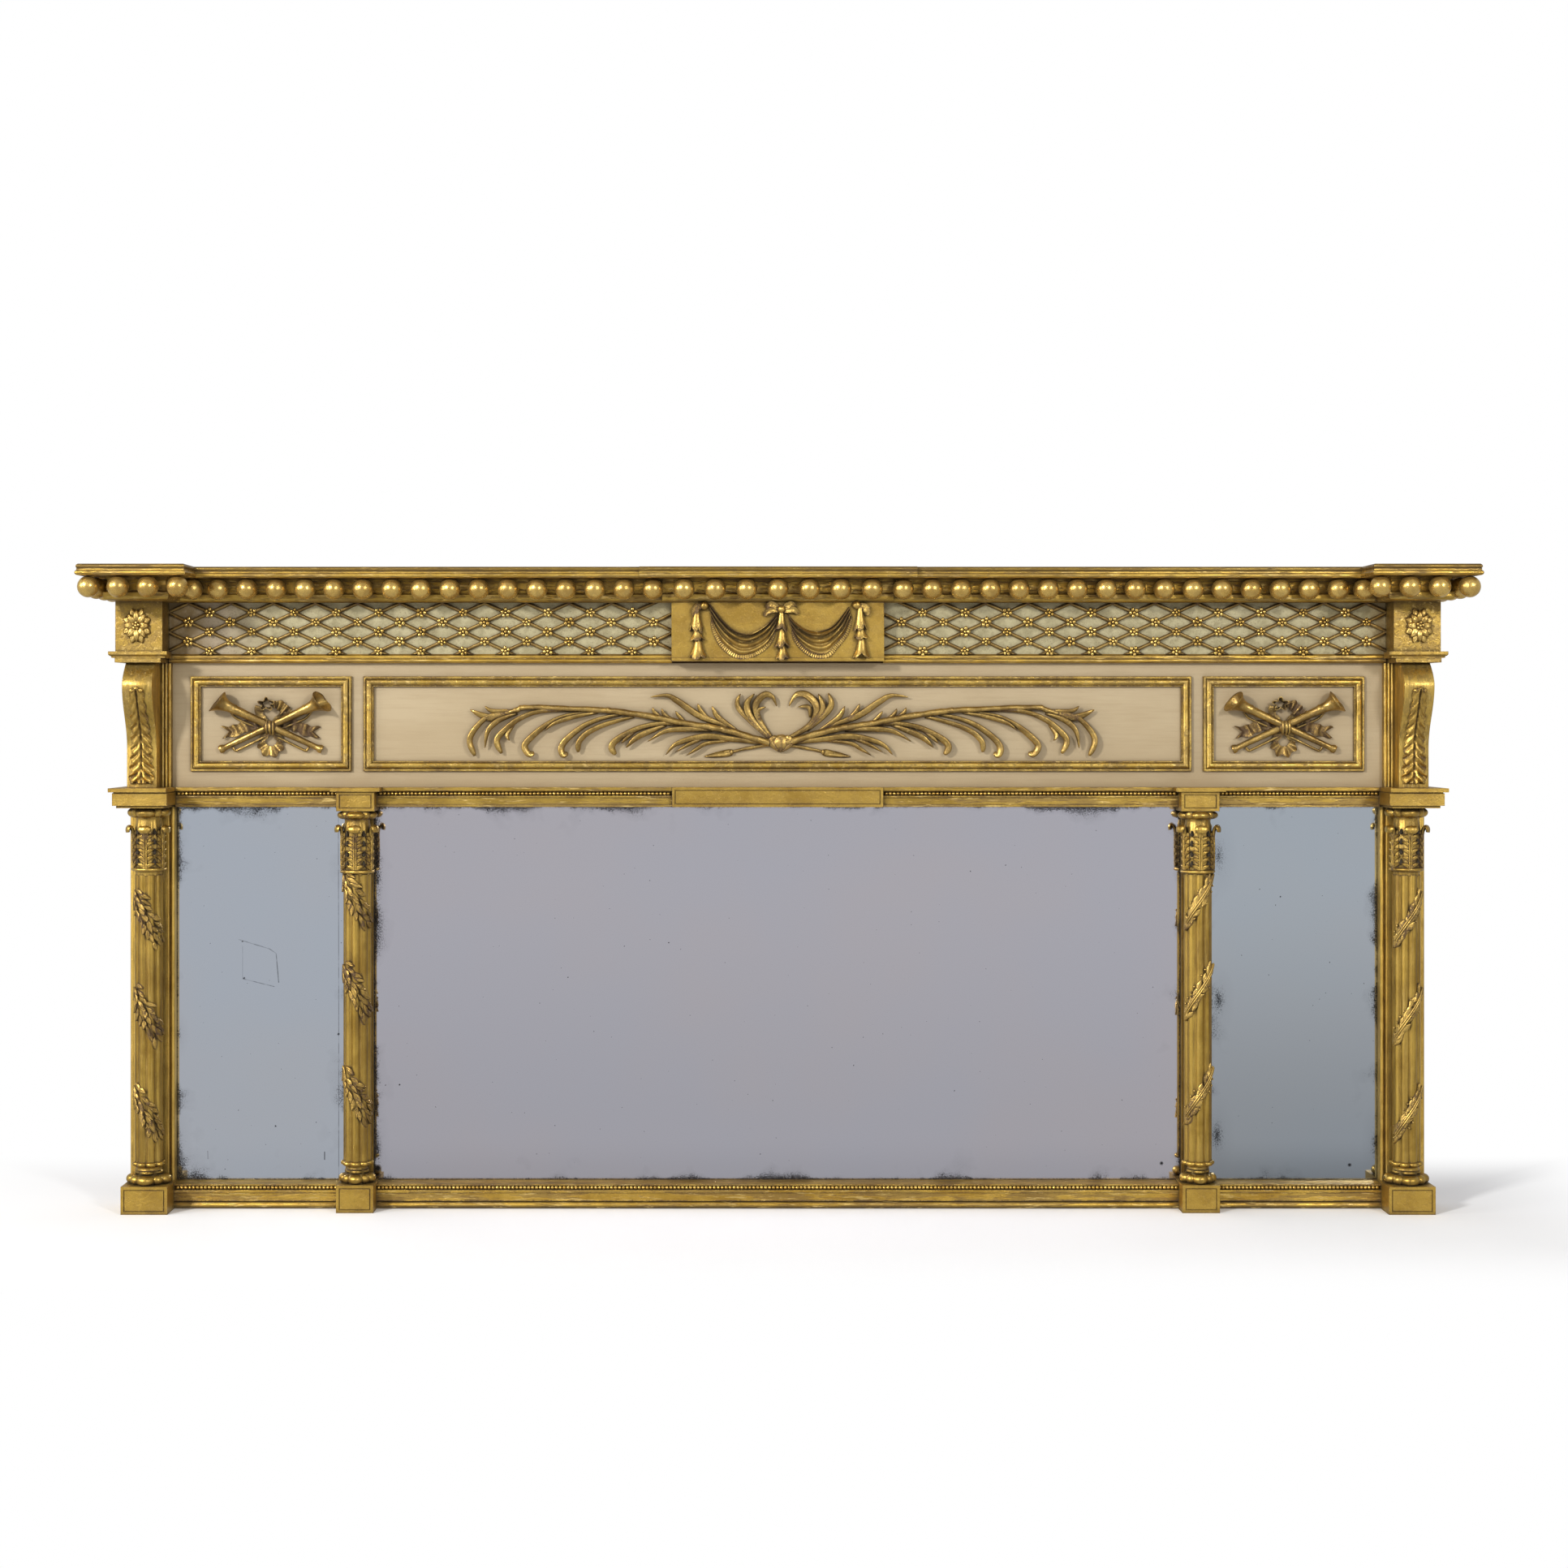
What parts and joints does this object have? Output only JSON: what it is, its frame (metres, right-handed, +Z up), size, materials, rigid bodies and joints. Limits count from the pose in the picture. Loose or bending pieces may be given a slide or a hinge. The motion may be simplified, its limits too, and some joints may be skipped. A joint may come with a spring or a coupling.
{
  "type": "overmantel mirror",
  "caption": "Wide triple-plate overmantel mirror with clustered columns, painted frieze with applied trophies and spray, latticed band and ball cornice.",
  "frame": {"origin": "on the mantel shelf, under the middle of the overall box", "axes": "+X to the right as seen from the front, +Y back towards the wall, +Z up"},
  "size_m": [1.6552, 0.14, 0.778],
  "materials": {
    "gilding": "satin",
    "burnished_gilding": "gloss",
    "cream_paint": "matte",
    "silver_paint": "matte",
    "pine": "matte",
    "mirror": "polished",
    "iron": "satin"
  },
  "bodies": {
    "root": {"carcass_stile_left": "pine", "carcass_stile_right": "pine", "carcass_rail_bottom": "pine", "carcass_rail_middle": "pine", "carcass_rail_top": "pine", "muntin_left": "pine", "muntin_right": "pine", "backboards": "pine", "mirror_plate_left": "mirror", "mirror_plate_centre": "mirror", "mirror_plate_right": "mirror", "glass_blocks": "pine", "hanging_plates": "iron", "hanging_screws": "iron", "bottom_rail": "gilding", "pearl_beading": "burnished_gilding", "stile_moulding_left": "gilding", "stile_moulding_right": "gilding", "architrave_rail": "gilding", "architrave_tablet": "gilding", "architrave_block_outer_left": "gilding", "architrave_block_outer_right": "gilding", "architrave_block_inner_left": "gilding", "architrave_block_inner_right": "gilding", "plinth_outer_left": "gilding", "plinth_outer_right": "gilding", "plinth_inner_left": "gilding", "plinth_inner_right": "gilding", "column_base_outer_left": "gilding", "column_base_outer_right": "gilding", "column_base_inner_left": "gilding", "column_base_inner_right": "gilding", "column_shaft_outer_left": "gilding", "column_shaft_outer_right": "gilding", "column_shaft_inner_left": "gilding", "column_shaft_inner_right": "gilding", "capital_outer_left": "gilding", "capital_outer_right": "gilding", "capital_inner_left": "gilding", "capital_inner_right": "gilding", "frieze_board": "cream_paint", "frieze_frame_left": "gilding", "frieze_frame_centre": "gilding", "frieze_frame_right": "gilding", "trophy_left": "gilding", "trophy_right": "gilding", "palm_spray": "gilding", "console_left": "gilding", "console_right": "gilding", "frieze_moulding": "gilding", "rosette_block_left": "gilding", "rosette_block_right": "gilding", "lattice_board": "silver_paint", "lattice": "gilding", "centre_tablet": "gilding", "swag": "gilding", "cornice_end_left": "gilding", "cornice_end_right": "gilding", "cornice_run": "gilding", "cornice_balls": "burnished_gilding"}
  },
  "joints": []
}
